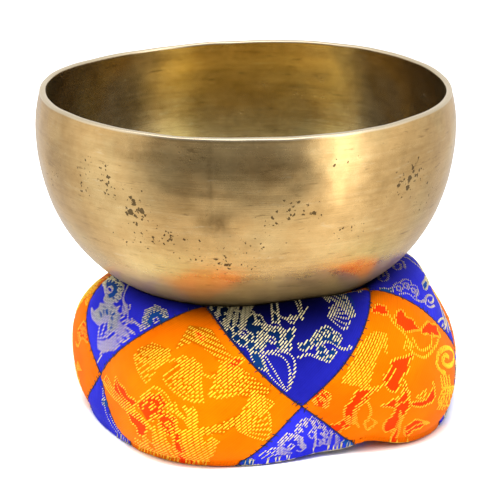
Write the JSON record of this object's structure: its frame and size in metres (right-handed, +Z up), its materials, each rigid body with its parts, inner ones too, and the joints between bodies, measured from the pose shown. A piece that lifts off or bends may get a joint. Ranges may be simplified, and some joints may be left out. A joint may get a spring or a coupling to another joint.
{
  "type": "singing bowl",
  "caption": "Hand-hammered metal singing bowl standing loose on a stuffed ring cushion of brocade patchwork diamonds",
  "frame": {"origin": "on the floor under the centre of the whole object's outline", "axes": "+Z up, -Y towards the front, where an orange diamond lies a little left of the middle"},
  "size_m": [0.1414, 0.14, 0.1104],
  "materials": {
    "bowl_brass": "hammered and hand-polished, with a dull brown patina and dark pits",
    "orange_brocade": "satin-weave brocade with gold and red raised figures",
    "blue_brocade": "satin-weave brocade with pale gold and sky-blue raised figures",
    "stuffing": "packed loose fibre",
    "thread": "matt sewing thread"
  },
  "bodies": {
    "cushion": {"ring_stuffing": "stuffing", "outer_patch_1": "orange_brocade", "outer_patch_2": "orange_brocade", "outer_patch_3": "orange_brocade", "outer_patch_4": "orange_brocade", "outer_patch_5": "orange_brocade", "top_patch_1": "blue_brocade", "top_patch_2": "blue_brocade", "top_patch_3": "blue_brocade", "top_patch_4": "blue_brocade", "top_patch_5": "blue_brocade", "inner_patch_1": "orange_brocade", "inner_patch_2": "orange_brocade", "inner_patch_3": "orange_brocade", "inner_patch_4": "orange_brocade", "inner_patch_5": "orange_brocade", "bottom_patch_1": "blue_brocade", "bottom_patch_2": "blue_brocade", "bottom_patch_3": "blue_brocade", "bottom_patch_4": "blue_brocade", "bottom_patch_5": "blue_brocade", "seam_thread": "thread"},
    "bowl": {"bowl": "bowl_brass"}
  },
  "joints": [
    {"name": "bowl_lift", "type": "slide", "parent": "cushion", "child": "bowl", "axis": [0, 0, 1], "range_m": [0, 0.1]}
  ]
}
